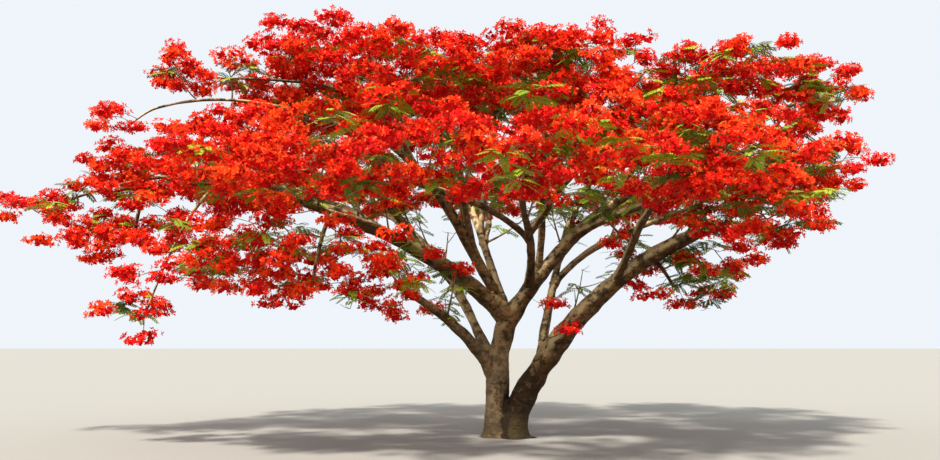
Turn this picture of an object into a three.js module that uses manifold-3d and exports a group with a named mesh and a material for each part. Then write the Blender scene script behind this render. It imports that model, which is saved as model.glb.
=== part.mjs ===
// A flame tree in full bloom, in millimetres with +Z up. The origin is the middle of the flat cut
// at ground level, +X is to the right in the photograph and +Y points away from its viewer.
// Two stems are fused at the foot. They fork into long low boughs that carry a flat, wide crown of
// blossom, and every mass of blossom is twigs and sprays grown by one rule inside its own space.

import * as THREE from "three";
import { mergeVertices } from "three/addons/utils/BufferGeometryUtils.js";
import Module from "manifold-3d";

const wasm = await Module();
wasm.setup();

// Fits and fineness
const CLEARANCE = 0.3; // air between two pieces that touch
const BOUGH_SIDES = 6;
const BOUGH_STEP = 620; // length of one straight step along a bough
const TRUNK_SIDES = 12;
const SWAY = 0.014; // sideways S bend of a bough, as a share of its length
const TAPER = 0.8; // below 1, a limb loses its thickness sooner near its foot

// The trunk: the central stem from the ground to its fork, and the foot of the low right bough
const STEM_FOOT = new THREE.Vector3(-120, 20, -60);
const STEM_TOP = new THREE.Vector3(120, 0, 2080);
const STEM_SLOPE = [90, 62]; // degrees above the level at its foot and at its top
const STEM_HOLD = [0.5, 0.2]; // how far the curve holds on to those slopes, as shares of its length
const STEM_RADII = [212, 178];
const RIGHT_FOOT = new THREE.Vector3(150, -50, -60);
const RIGHT_HOLD = [0.19, 0.4];
const RIGHT_LEAVES_TRUNK = 0.235; // share of the low right bough that belongs to the trunk
const BOUGH_HOLD = [0.33, 0.36];
const FLARE = 0.42; // how far the root flare widens the foot at the ground
const FLARE_HEIGHT = 130;
const FLARE_LOBES = 5;
const LOBE_DEPTH = 0.3;
const TRUNK_STEPS = 10;
const FOOT_STEPS = 6;
const GROUND_BLOCK = [4000, 400]; // breadth and depth of the block that cuts off the foot

// Every bough: the limb that it leaves and at which share of it, where its tip is seen from the
// trunk's axis (heading in degrees from +X towards +Y, reach, height), how many degrees above the
// level it leaves its parent and lies at its tip, and its radii at both ends.
const BOUGHS = {
  low_right: { fork: null, tip: [-30, 3400, 3330], slope: [90, 20], radii: [255, 120] },
  low_left_back: { fork: ["stem", 0.38], tip: [128, 4150, 4500], slope: [66, 24], radii: [112, 52] },
  low_left_front: { fork: ["stem", 0.35], tip: [217, 2150, 2550], slope: [64, 30], radii: [128, 56] },
  main_left: { fork: ["stem", 0.97], tip: [195, 4500, 4350], slope: [44, 16], radii: [172, 84] },
  centre_left: { fork: ["stem", 0.98], tip: [205, 2550, 5250], slope: [60, 28], radii: [118, 62] },
  centre_back: { fork: ["stem", 0.97], tip: [119, 2350, 5500], slope: [68, 50], radii: [92, 50] },
  right_high: { fork: ["stem", 1], tip: [8, 3450, 4900], slope: [58, 20], radii: [158, 72] },
  low_right_front: { fork: ["low_right", 0.74], tip: [-54, 3900, 3850], slope: [44, 20], radii: [82, 46] },
  right_upright: { fork: ["low_right", 0.36], tip: [50, 3200, 5200], slope: [84, 42], radii: [86, 48] },
  right_back: { fork: ["right_upright", 0.33], tip: [32, 5000, 4550], slope: [42, 20], radii: [70, 44] },
  left_far: { fork: ["main_left", 0.84], tip: [184, 6200, 4400], slope: [14, -6], radii: [74, 40] },
  left_back: { fork: ["main_left", 0.55], tip: [157, 4500, 4600], slope: [36, 16], radii: [84, 46] },
  left_upright: { fork: ["main_left", 0.4], tip: [197, 3650, 5000], slope: [66, 22], radii: [78, 46] },
  left_front: { fork: ["main_left", 0.46], tip: [219, 4000, 3750], slope: [20, 8], radii: [84, 46] },
  left_arch: { fork: ["centre_left", 0.9], tip: [187, 6150, 5720], slope: [24, -14], radii: [46, 22] },
  top_left: { fork: ["centre_left", 0.76], tip: [200, 2900, 6150], slope: [62, 40], radii: [52, 36] },
  centre_front: { fork: ["centre_left", 0.3], tip: [238, 1950, 5350], slope: [66, 50], radii: [70, 44] },
  centre_high: { fork: ["centre_back", 0.45], tip: [95, 1150, 5800], slope: [80, 72], radii: [60, 40] },
  back: { fork: ["centre_back", 0.4], tip: [91, 4050, 4650], slope: [42, 20], radii: [66, 44] },
  front: { fork: ["right_high", 0.14], tip: [273, 3600, 3950], slope: [54, 12], radii: [84, 44] },
  front_left: { fork: ["front", 0.34], tip: [243, 3600, 4050], slope: [38, 12], radii: [60, 42] },
  centre_top: { fork: ["right_high", 0.2], tip: [-60, 1500, 5450], slope: [78, 62], radii: [74, 44] },
  right_front: { fork: ["right_high", 0.45], tip: [-18, 4100, 4400], slope: [24, 10], radii: [82, 46] },
  front_right: { fork: ["front", 0.42], tip: [-58, 2500, 4500], slope: [46, 24], radii: [60, 42] },
  top_right: { fork: ["right_high", 0.72], tip: [-20, 3150, 5800], slope: [66, 46], radii: [56, 40] },
  right_far: { fork: ["right_high", 0.84], tip: [0, 4650, 5200], slope: [18, 24], radii: [56, 40] },
};

// Every mass: the bough that carries it, with a share where its stem leaves the side and not the
// tip, where its middle is seen from the trunk's axis, and half its length, breadth and depth.
const MASSES = {
  blossom_low_right: { on: "low_right", middle: [-34, 4500, 3600], half: [1550, 1450, 680] },
  blossom_low_left_back: { on: "low_left_back", middle: [125, 5250, 5000], half: [1750, 1750, 700] },
  blossom_low_left_front: { on: "low_left_front", middle: [222, 2750, 2740], half: [1200, 1100, 840] },
  blossom_main_left: { on: "main_left", middle: [180, 6150, 4720], half: [1450, 1450, 560] },
  blossom_centre_left: { on: "centre_left", middle: [177, 3450, 6050], half: [1500, 1600, 640] },
  blossom_centre_back: { on: "centre_back", middle: [127, 2950, 6350], half: [1800, 1800, 620] },
  blossom_right_high: { on: "right_high", middle: [13, 3700, 5720], half: [1500, 1500, 640] },
  blossom_low_right_front: { on: "low_right_front", middle: [-58, 4850, 4150], half: [1650, 1600, 700] },
  blossom_right_upright: { on: "right_upright", middle: [48, 4000, 6100], half: [1700, 1650, 640] },
  blossom_right_back: { on: "right_back", middle: [28, 5900, 5050], half: [1700, 1650, 700] },
  blossom_left_far: { on: "left_far", middle: [185, 6950, 3720], half: [1350, 1350, 840] },
  blossom_left_back: { on: "left_back", middle: [156, 5550, 5050], half: [1900, 1900, 700] },
  blossom_left_upright: { on: "left_upright", middle: [192, 4500, 5200], half: [1200, 1300, 500] },
  blossom_left_front: { on: "left_front", middle: [224, 5150, 4020], half: [1600, 1600, 720] },
  blossom_left_arch: { on: "left_arch", middle: [187, 6780, 5420], half: [360, 340, 360] },
  blossom_top_left: { on: "top_left", middle: [199, 3150, 6680], half: [1450, 1200, 520] },
  blossom_centre_front: { on: "centre_front", middle: [238, 2500, 5960], half: [1600, 1550, 600] },
  blossom_front_left: { on: "front_left", middle: [248, 4750, 4140], half: [1600, 1600, 840] },
  blossom_centre_high: { on: "centre_high", middle: [92, 1350, 6550], half: [1750, 1750, 580] },
  blossom_back: { on: "back", middle: [90, 4850, 5100], half: [1700, 1700, 700] },
  blossom_front: { on: "front", middle: [275, 4850, 4050], half: [1650, 1600, 800] },
  blossom_centre_top: { on: "centre_top", middle: [-66, 2050, 6080], half: [1700, 1600, 620] },
  blossom_right_front: { on: "right_front", middle: [-13, 5200, 4620], half: [1450, 1400, 760] },
  blossom_front_right: { on: "front_right", middle: [-54, 3400, 5050], half: [1450, 1400, 740] },
  blossom_top_right: { on: "top_right", middle: [-24, 3950, 6060], half: [1400, 1300, 540] },
  blossom_right_far: { on: "right_far", middle: [-4, 5500, 6040], half: [1000, 1300, 600] },
  blossom_left_low: { on: "main_left", share: 0.8, middle: [206, 5020, 3040], half: [1320, 1300, 780] },
  blossom_left_tip: { on: "left_far", share: 0.6, middle: [185, 8400, 3950], half: [800, 500, 260] },
  blossom_left_skirt: { on: "left_far", share: 0.4, middle: [196, 6200, 2240], half: [460, 540, 800] },
  blossom_front_skirt: { on: "left_front", share: 0.7, middle: [222, 4300, 2840], half: [1400, 1000, 900] },
  blossom_upper_tip: { on: "top_left", share: 0.8, middle: [189, 5340, 6340], half: [950, 600, 420] },
  leaf_low_right: { on: "low_right", share: 0.86, middle: [-21, 3400, 2720], half: [1150, 1050, 640] },
  blossom_back_right: { on: "right_back", share: 0.7, middle: [56, 5850, 4950], half: [1750, 1650, 700] },
};

// The growth rule
const SPRAYS = 10; // most sprays in a mass
const PLACES = 15; // places that are kept for them, as some can't be reached
const TRIES = 100;
const SPRAY_HALF = [560, 430, 110]; // half the length, breadth and thickness of a full spray
const FULL_BREADTH = 1450; // a mass this broad has full sprays, and the others scale with theirs
const SMALLEST_SPRAY = 0.5;
const LARGEST_SPRAY = 1.25;
const APART = 820; // full sprays of one layer lie this far apart
const LAYER = 240; // and the layers this far above each other
const MOST_PITCH = 12; // degrees that a spray may rise or droop
const STEM_FORKS = [2 / 3, 1]; // the shares of a stem where twigs may leave it
const TWIG_FORK = 0.6; // the share of a twig where the next ones may leave it
const PAST_TWIG = 1.2; // a spray's middle lies this many halves from a fork on a twig
const PAST_SPRAY = 2.3; // and this many from one in the middle of a spray
const SPRAY_ROOM = 1.12; // what lies outside this many halves of a spray is clear of it
const FILL = 0.82; // sprays are placed in this share of a mass's reach in plan
const FILL_UP = 1; // and in this share of its depth
const FULLNESS = [0.88, 0.94, 1, 1.06, 1.12]; // sprays differ in size
const SEEDS = 8; // a mass is grown from this many seeds, and the fullest one stays
const PATH_SHARE = 0.35; // how much a longer way back to the root counts against a fork
const TWIG_RADIUS = 9; // radius of a twig that carries one spray
const MOST_STEM_RADIUS = 60; // the stem that carries a mass
const STEM_END_RADIUS = 30;
const STEM_SIDES = 4;
const STEM_STEPS = 3;
const SIDE_RISE = 26; // degrees above the level at which a stem leaves the side of a bough
const STEM_HOLD_SHARE = 0.3; // how far a stem holds on to the way it starts in
const STEM_SHARE = 0.8; // the stem's radius at its root, as a share of the bough's
const HUB_BACK = 0.35; // the hub lies this far short of the middle, as a share of half the length
const HUB_DOWN = 0.25; // and this far under it, as a share of half the depth
const SPACE_GAP = 40; // each mass stays this far inside the planes between it and its neighbours
const LIMB_GAP = 55; // and this far from every limb and every other stem
const OWN_STEM = 0.5; // a spray keeps this share of its own stem's radius clear of it
const SURROUNDINGS = 1.6; // limbs are looked at within this many of a mass's longest half
const LIMB_CHECKS = 110; // and every so far along them
const STEM_CHECKS = 32; // and stems at this many places
const FLATNESS = 1.8; // masses are weighed against each other in a space this much taller

// The colours of the real tree
const bark = new THREE.MeshStandardMaterial({ color: 0x9c8468, roughness: 0.92, metalness: 0 });
const blossom = new THREE.MeshStandardMaterial({ color: 0xd6280c, roughness: 0.7, metalness: 0 });
const leaf = new THREE.MeshStandardMaterial({ color: 0x6f9c26, roughness: 0.7, metalness: 0 });

const radians = THREE.MathUtils.degToRad;
const headingOf = (v) => THREE.MathUtils.radToDeg(Math.atan2(v.y, v.x));

// A unit vector from a heading in plan and a rise above the level
function direction(heading, rise) {
  const flat = Math.cos(radians(rise));
  return new THREE.Vector3(
    flat * Math.cos(radians(heading)),
    flat * Math.sin(radians(heading)),
    Math.sin(radians(rise)),
  );
}

const seenFromAxis = ([heading, reach, height]) =>
  direction(heading, 0).multiplyScalar(reach).setZ(height);

// A limb as a spine: a cubic curve with a slight S bend to the side, and a radius along it
function makeLimb(name, start, end, slope, radii, hold, sway) {
  const chord = end.clone().sub(start);
  const length = chord.length();
  const heading = headingOf(chord);
  const curve = new THREE.CubicBezierCurve3(
    start,
    start.clone().addScaledVector(direction(heading, slope[0]), hold[0] * length),
    end.clone().addScaledVector(direction(heading, slope[1]), -hold[1] * length),
    end,
  );
  const side = direction(heading + 90, 0);
  const pointAt = (t) =>
    curve.getPoint(t).addScaledVector(side, sway * length * Math.sin(2 * Math.PI * t));
  const tangentAt = (t) => {
    const before = pointAt(Math.max(t - 0.01, 0));
    return pointAt(Math.min(t + 0.01, 1)).sub(before).normalize();
  };
  const radiusAt = (t) => radii[0] + (radii[1] - radii[0]) * Math.pow(t, TAPER);
  return { name, pointAt, tangentAt, radiusAt, side, length };
}

// A unit cylinder bent along a spine between two shares of it. shape gives the radius at a share
// and an angle round the limb.
function bentCylinder(spine, from, to, sides, steps, shape) {
  const tube = new THREE.CylinderGeometry(1, 1, 1, sides, steps);
  tube.deleteAttribute("normal");
  tube.deleteAttribute("uv");
  const bent = mergeVertices(tube);
  const place = bent.getAttribute("position");
  const local = new THREE.Vector3();
  for (let i = 0; i < place.count; i++) {
    local.fromBufferAttribute(place, i);
    const t = from + (to - from) * (local.y + 0.5);
    const along = spine.tangentAt(t);
    const across = spine.side.clone().addScaledVector(along, -spine.side.dot(along)).normalize();
    const over = across.clone().cross(along);
    const radius = shape(t, Math.atan2(local.z, local.x));
    const point = spine
      .pointAt(t)
      .addScaledVector(across, radius * local.x)
      .addScaledVector(over, radius * local.z);
    place.setXYZ(i, point.x, point.y, point.z);
  }
  return solidOf(bent);
}

// A closed three.js geometry as a solid that can be joined and cut
function solidOf(geometry) {
  return new wasm.Manifold(
    new wasm.Mesh({
      numProp: 3,
      vertProperties: new Float32Array(geometry.getAttribute("position").array),
      triVerts: new Uint32Array(geometry.index.array),
    }),
  );
}

// The largest body of a solid, so that a scrap left by a cut is dropped
function largestBody(solid) {
  const bodies = solid.decompose();
  return bodies.reduce((best, body) => (body.volume() > best.volume() ? body : best));
}

function meshOf(name, solid, material) {
  const cut = solid.getMesh();
  const geometry = new THREE.BufferGeometry();
  geometry.setAttribute("position", new THREE.BufferAttribute(cut.vertProperties, 3));
  geometry.setIndex(new THREE.BufferAttribute(cut.triVerts, 1));
  const mesh = new THREE.Mesh(geometry, material);
  mesh.name = name;
  return mesh;
}

// The limbs: the central stem, then every bough after its parent
const limbs = new Map();
limbs.set("stem", makeLimb("stem", STEM_FOOT, STEM_TOP, STEM_SLOPE, STEM_RADII, STEM_HOLD, 0));
Object.entries(BOUGHS).forEach(([name, { fork, tip, slope, radii }], index) => {
  const start = fork ? limbs.get(fork[0]).pointAt(fork[1]) : RIGHT_FOOT;
  const hold = fork ? BOUGH_HOLD : RIGHT_HOLD;
  const sway = fork ? SWAY * (index % 2 ? 1 : -1) : 0;
  limbs.set(name, makeLimb(name, start, seenFromAxis(tip), slope, radii, hold, sway));
});

function boughSolid(limb, from, allowance) {
  const steps = Math.max(4, Math.round((limb.length * (1 - from)) / BOUGH_STEP));
  const opened = allowance / Math.cos(Math.PI / BOUGH_SIDES);
  const beyond = allowance / limb.length;
  const radius = (t) => limb.radiusAt(THREE.MathUtils.clamp(t, 0, 1)) + opened;
  return bentCylinder(limb, from - beyond, 1 + beyond, BOUGH_SIDES, steps, radius);
}

// The trunk: the stem and the low right bough's foot with their root flare, fused, and cut level
// at the ground
function trunkSolid(allowance) {
  const flared = (limb) => (t, angle) => {
    const height = limb.pointAt(t).z;
    const lobes = 1 + LOBE_DEPTH * Math.cos(FLARE_LOBES * angle);
    return limb.radiusAt(t) * (1 + FLARE * lobes * Math.exp(-height / FLARE_HEIGHT)) + allowance;
  };
  const stem = limbs.get("stem");
  const right = limbs.get("low_right");
  const [broad, deep] = GROUND_BLOCK;
  const below = new THREE.BoxGeometry(broad, broad, deep).translate(0, 0, -deep / 2);
  below.deleteAttribute("normal");
  below.deleteAttribute("uv");
  return bentCylinder(stem, 0, 1 + allowance / stem.length, TRUNK_SIDES, TRUNK_STEPS, flared(stem))
    .add(bentCylinder(right, 0, RIGHT_LEAVES_TRUNK, TRUNK_SIDES, FOOT_STEPS, flared(right)))
    .subtract(solidOf(mergeVertices(below)));
}

const group = new THREE.Group();
group.name = "flame_tree";
group.add(meshOf("trunk", trunkSolid(0), bark));

// Each bough is cut clear of the trunk and of every bough before it
const opened = new Map([["trunk", trunkSolid(CLEARANCE / Math.cos(Math.PI / TRUNK_SIDES))]]);
for (const name of Object.keys(BOUGHS)) {
  const limb = limbs.get(name);
  const from = BOUGHS[name].fork ? 0 : RIGHT_LEAVES_TRUNK + CLEARANCE / limb.length;
  const solid = boughSolid(limb, from, 0).subtract(wasm.Manifold.union([...opened.values()]));
  group.add(meshOf(name, largestBody(solid), bark));
  opened.set(name, boughSolid(limb, from, CLEARANCE));
}

// The masses: where each one's stem starts, where its middle is and how it lies
const masses = Object.entries(MASSES).map(([name, row], index) => {
  const bough = limbs.get(row.on);
  const atTip = row.share === undefined;
  const share = row.share ?? 1;
  const tipGap = bough.tangentAt(share).multiplyScalar(atTip ? CLEARANCE : 0);
  const root = bough.pointAt(share).add(tipGap);
  const middle = seenFromAxis(row.middle);
  const heading = headingOf(middle.clone().sub(root));
  const size = THREE.MathUtils.clamp(row.half[1] / FULL_BREADTH, SMALLEST_SPRAY, LARGEST_SPRAY);
  return { name, index, bough, atTip, share, root, middle, heading, half: row.half, size };
});

// How far a mass reaches along a direction of the taller space
function support(mass, towards) {
  const along = direction(mass.heading, 0);
  const x = towards.x * along.x + towards.y * along.y;
  const y = towards.y * along.x - towards.x * along.y;
  const [a, b, c] = mass.half;
  return Math.hypot(a * x, b * y, c * FLATNESS * towards.z);
}

// The planes between a mass and its neighbours, in the taller space
for (const mass of masses) {
  mass.planes = [];
  for (const other of masses) {
    if (other === mass) continue;
    const apart = other.middle.clone().sub(mass.middle);
    apart.z *= FLATNESS;
    const distance = apart.length();
    const normal = apart.normalize();
    const mine = support(mass, normal);
    const theirs = support(other, normal);
    mass.planes.push({ normal, limit: (distance * mine) / (mine + theirs) });
  }
}

// Whether every point lies in a mass's own space
function inSpace(mass, points) {
  return points.every((point) => {
    const offset = point.clone().sub(mass.middle);
    offset.z *= FLATNESS;
    return mass.planes.every(({ normal, limit }) => offset.dot(normal) < limit - SPACE_GAP);
  });
}

// The stem of a mass runs to a hub short of the middle. From a bough's tip it goes on in the
// bough's own direction, and from a bough's side it rises and arches over.
for (const mass of masses) {
  const outward = direction(mass.heading, 0);
  const hub = mass.middle.clone().addScaledVector(outward, -HUB_BACK * mass.half[0]);
  hub.z -= HUB_DOWN * mass.half[2];
  const lead = mass.atTip ? mass.bough.tangentAt(1) : direction(mass.heading, SIDE_RISE);
  const hold = STEM_HOLD_SHARE * mass.root.distanceTo(hub);
  const bend = mass.root.clone().addScaledVector(lead, hold);
  mass.stem = new THREE.QuadraticBezierCurve3(mass.root, bend, hub);
  mass.stemRadius = Math.min(STEM_SHARE * mass.bough.radiusAt(mass.share), MOST_STEM_RADIUS);
}

// Every limb and stem as points with a radius, which sprays and twigs keep clear of
const obstacles = [];
for (const limb of limbs.values())
  for (let t = 0; t <= 1; t += LIMB_CHECKS / limb.length)
    obstacles.push({ point: limb.pointAt(t), radius: limb.radiusAt(t), owner: null });
for (const mass of masses)
  for (const point of mass.stem.getPoints(STEM_CHECKS))
    obstacles.push({ point, radius: mass.stemRadius, owner: mass });

// Where a twig and its spray are looked at: shares of the twig, and halves along and across
const TWIG_CHECKS = [0.3, 0.5, 0.7, 0.85, 1];
const RIM = [0, 1, 2, 3, 4, 5, 6, 7].map((k) => (k * Math.PI) / 4);
const BLADE_CHECKS = RIM.map((turn) => [Math.cos(turn), Math.sin(turn)])
  .map(([a, b]) => [a / (Math.abs(a) + Math.abs(b)), b / (Math.abs(a) + Math.abs(b))])
  .concat([[0, 0]]);

// A twig from a fork to the foot of its spray. The spray lies along the way from the fork to its
// middle, nearly level.
function makeTwig(mass, fork, target, fullness) {
  const half = SPRAY_HALF.map((h) => h * mass.size * fullness);
  const away = target.clone().sub(fork.point);
  const flat = Math.hypot(away.x, away.y);
  const pitch = THREE.MathUtils.radToDeg(Math.atan2(away.z, flat));
  const heading = headingOf(away);
  const along = direction(heading, THREE.MathUtils.clamp(pitch, -MOST_PITCH, MOST_PITCH));
  const across = direction(heading - 90, 0);
  const over = across.clone().cross(along);
  const foot = target.clone().addScaledVector(along, -half[0]);
  const stalk = new THREE.LineCurve3(fork.point, foot);
  const points = TWIG_CHECKS.map((t) => stalk.getPoint(t));
  const blade = BLADE_CHECKS.map(([a, b]) =>
    target.clone().addScaledVector(along, a * half[0]).addScaledVector(across, b * half[1]),
  );
  const reaches = flat > fork.apart * half[0];
  const frame = { half, along, across, over, target, foot };
  return { ...frame, from: fork.point, parent: fork.twig, tips: 0, reaches, stalk, points, blade };
}

// How far a point lies from a spray's middle, measured in halves of the spray
function shareOf({ target, along, across, over, half }, point) {
  const offset = point.clone().sub(target);
  return [along, across, over].reduce((sum, axis, k) => sum + Math.abs(offset.dot(axis)) / half[k], 0);
}

// A twig fits when it and its spray keep to the mass's space, clear of limbs and of other sprays
function fits(mass, twig, twigs) {
  if (!twig.reaches || !inSpace(mass, twig.blade) || !inSpace(mass, twig.points)) return false;
  const [a, b, c] = twig.half;
  const slope = Math.hypot(1 / a, 1 / b, 1 / c);
  const clear = mass.near.every(({ point, radius, owner }) => {
    if (owner === mass) return shareOf(twig, point) > 1 + OWN_STEM * slope * radius;
    const room = radius + LIMB_GAP + TWIG_RADIUS;
    return (
      shareOf(twig, point) > 1 + slope * (radius + LIMB_GAP) &&
      twig.points.every((p) => p.distanceTo(point) > room)
    );
  });
  return (
    clear &&
    twigs.every(
      (other) =>
        (other === twig.parent || twig.points.every((p) => shareOf(other, p) > SPRAY_ROOM)) &&
        twig.blade.every((p) => shareOf(other, p) > SPRAY_ROOM) &&
        [...other.blade, ...other.points].every((p) => shareOf(twig, p) > SPRAY_ROOM),
    )
  );
}

// Places inside a flattened ball that fill it evenly: three shares from an additive sequence
const STEP = [0.8191725134, 0.6710436067, 0.5497004779];
const START = [0.6180339887, 0.2286692645]; // where each mass and each seed starts in it

function placeIn(mass, seed, i) {
  const [u, v, w] = STEP.map((step) => (mass.index * START[0] + seed * START[1] + i * step) % 1);
  const rise = 2 * w - 1;
  const round = 2 * Math.PI * u;
  const away = Math.cbrt(v);
  const flat = FILL * away * Math.sqrt(1 - rise * rise);
  const [a, b, c] = mass.half;
  return mass.middle
    .clone()
    .addScaledVector(direction(mass.heading, 0), a * flat * Math.cos(round))
    .addScaledVector(direction(mass.heading + 90, 0), b * flat * Math.sin(round))
    .add(new THREE.Vector3(0, 0, FILL_UP * c * away * rise));
}

// Grows a mass: the target that is cheapest to reach is joined first, to the fork that is best
// for it, and one that no fork can reach is skipped
function grow(mass, seed) {
  const waiting = [];
  for (let i = 1; i <= TRIES && waiting.length < PLACES; i++) {
    const place = placeIn(mass, seed, i);
    const crowded = waiting.some(({ place: other }) => {
      const sideways = Math.hypot(place.x - other.x, place.y - other.y);
      return sideways < APART * mass.size && Math.abs(place.z - other.z) < LAYER * mass.size;
    });
    if (!crowded) waiting.push({ place, fullness: FULLNESS[i % FULLNESS.length] });
  }
  const whole = mass.stem.getLength();
  const forks = STEM_FORKS.map((t) => ({
    point: mass.stem.getPoint(t),
    path: t * whole,
    twig: null,
    apart: PAST_TWIG,
  }));
  const twigs = [];
  while (twigs.length < SPRAYS) {
    let best = null;
    waiting.forEach(({ place, fullness }, k) =>
      forks.forEach((fork) => {
        const cost = place.distanceTo(fork.point) + PATH_SHARE * fork.path;
        if (best && cost >= best.cost) return;
        const twig = makeTwig(mass, fork, place, fullness);
        if (fits(mass, twig, twigs)) best = { cost, k, fork, twig };
      }),
    );
    if (!best) break;
    waiting.splice(best.k, 1);
    const { fork, twig } = best;
    for (let up = twig; up; up = up.parent) up.tips++;
    twigs.push(twig);
    const length = twig.stalk.getLength();
    const path = fork.path + TWIG_FORK * length;
    forks.push({ point: twig.stalk.getPoint(TWIG_FORK), path, twig, apart: PAST_TWIG });
    forks.push({ point: twig.target, path: fork.path + length, twig, apart: PAST_SPRAY });
  }
  return twigs;
}

// A twig and its spray in one: a cone of three sides whose four rings are the twig's root, the foot
// of the spray, the spray's widest place and its tip
function twigSolid({ from, target, foot, along, across, over, half, tips }) {
  const root = TWIG_RADIUS * Math.sqrt(tips);
  const rings = [
    { middle: from, wide: root, thick: root },
    { middle: foot, wide: TWIG_RADIUS, thick: TWIG_RADIUS },
    { middle: target, wide: half[1] / Math.sin(Math.PI / 3), thick: half[2] },
    { middle: target.clone().addScaledVector(along, half[0]), wide: 0, thick: 0 },
  ];
  const last = rings.length - 1;
  const cone = new THREE.ConeGeometry(1, 1, 3, last);
  cone.deleteAttribute("normal");
  cone.deleteAttribute("uv");
  const shaped = mergeVertices(cone);
  const place = shaped.getAttribute("position");
  const local = new THREE.Vector3();
  for (let i = 0; i < place.count; i++) {
    local.fromBufferAttribute(place, i);
    const { middle, wide, thick } = rings[Math.round((local.y + 0.5) * last)];
    const off = Math.hypot(local.x, local.z) || 1;
    const point = middle
      .clone()
      .addScaledVector(across, (wide * local.x) / off)
      .addScaledVector(over, (thick * local.z) / off);
    place.setXYZ(i, point.x, point.y, point.z);
  }
  return solidOf(shaped);
}

for (const mass of masses) {
  const { stem, stemRadius } = mass;
  const chord = stem.getPoint(1).sub(stem.getPoint(0));
  const spine = {
    pointAt: (t) => stem.getPoint(t),
    tangentAt: (t) => stem.getTangent(t),
    side: new THREE.Vector3(-chord.y, chord.x, 0).normalize(),
  };
  const taper = (t) => stemRadius + (STEM_END_RADIUS - stemRadius) * t;
  const surroundings = SURROUNDINGS * Math.max(...mass.half);
  mass.near = obstacles.filter(({ point }) => point.distanceTo(mass.middle) < surroundings);
  const grown = Array.from({ length: SEEDS }, (_, seed) => grow(mass, seed));
  const twigs = grown.reduce((fullest, one) => (one.length > fullest.length ? one : fullest));
  const parts = [bentCylinder(spine, 0, 1, STEM_SIDES, STEM_STEPS, taper), ...twigs.map(twigSolid)];
  let solid = wasm.Manifold.union(parts);
  if (!mass.atTip) solid = solid.subtract(opened.get(mass.bough.name));
  const material = mass.name.startsWith("leaf") ? leaf : blossom;
  group.add(meshOf(mass.name, largestBody(solid), material));
}

export default group;
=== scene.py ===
# A flame tree in full bloom: bark, twigs, blossom and leaves grown on the limbs of the packed
# model. Everything is in metres with +Z up, and the origin is the middle of the flat cut under the
# trunk. Limbs and masses repeat the model's own sizes, and the twigs follow its rule of growth.

import math

import bpy
import numpy as np
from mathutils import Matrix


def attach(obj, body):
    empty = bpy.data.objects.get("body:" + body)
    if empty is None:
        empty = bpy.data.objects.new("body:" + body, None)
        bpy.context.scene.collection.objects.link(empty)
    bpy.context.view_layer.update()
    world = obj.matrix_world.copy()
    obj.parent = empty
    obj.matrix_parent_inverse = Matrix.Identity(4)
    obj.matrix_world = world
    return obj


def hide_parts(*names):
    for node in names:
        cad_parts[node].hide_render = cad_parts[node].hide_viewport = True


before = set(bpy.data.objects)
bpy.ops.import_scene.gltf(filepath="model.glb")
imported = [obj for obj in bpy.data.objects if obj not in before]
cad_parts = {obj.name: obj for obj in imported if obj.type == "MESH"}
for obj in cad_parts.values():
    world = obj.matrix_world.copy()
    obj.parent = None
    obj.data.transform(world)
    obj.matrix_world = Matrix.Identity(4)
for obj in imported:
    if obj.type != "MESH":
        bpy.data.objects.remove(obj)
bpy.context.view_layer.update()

# The camera stands where the photographer stood: at eye height, 16 m in front of the trunk and a
# little to its left, tipped up so that the crown fills the picture.
PHOTO_WIDTH = 940
FOCAL_PIXELS = 903
SENSOR_WIDTH = 36.0
EYE_AT = (-0.59, -16.2, 1.6)
EYE_TIPPED = 97.26
camera_data = bpy.data.cameras.new("camera")
camera_data.sensor_width = SENSOR_WIDTH
camera_data.lens = SENSOR_WIDTH * FOCAL_PIXELS / PHOTO_WIDTH
camera = bpy.data.objects.new("camera", camera_data)
camera.location = EYE_AT
camera.rotation_euler = (math.radians(EYE_TIPPED), 0.0, 0.0)
bpy.context.scene.collection.objects.link(camera)
bpy.context.scene.camera = camera

# A plain studio: a pale floor out to the horizon, a pale surround, and one soft key from high up on
# the left, as the sun stands in the photograph.
FLOOR_REACH = 400.0
FLOOR_COLOR = (0.34, 0.325, 0.29)
SURROUND_COLOR = (0.86, 0.91, 0.96)
SURROUND_STRENGTH = 1.0
KEY_STRENGTH = 5.5
KEY_WIDTH = 5.0
KEY_COLOR = (1.0, 0.96, 0.90)
KEY_TURNED = (32.0, -14.0, 0.0)
bpy.context.scene.view_settings.view_transform = "Standard"
world = bpy.data.worlds.new("surround")
world.use_nodes = True
background = world.node_tree.nodes["Background"]
background.inputs["Color"].default_value = (*SURROUND_COLOR, 1.0)
background.inputs["Strength"].default_value = SURROUND_STRENGTH
bpy.context.scene.world = world
key_data = bpy.data.lights.new("key", "SUN")
key_data.energy = KEY_STRENGTH
key_data.angle = math.radians(KEY_WIDTH)
key_data.color = KEY_COLOR
key = bpy.data.objects.new("key", key_data)
key.rotation_euler = [math.radians(angle) for angle in KEY_TURNED]
bpy.context.scene.collection.objects.link(key)


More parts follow.
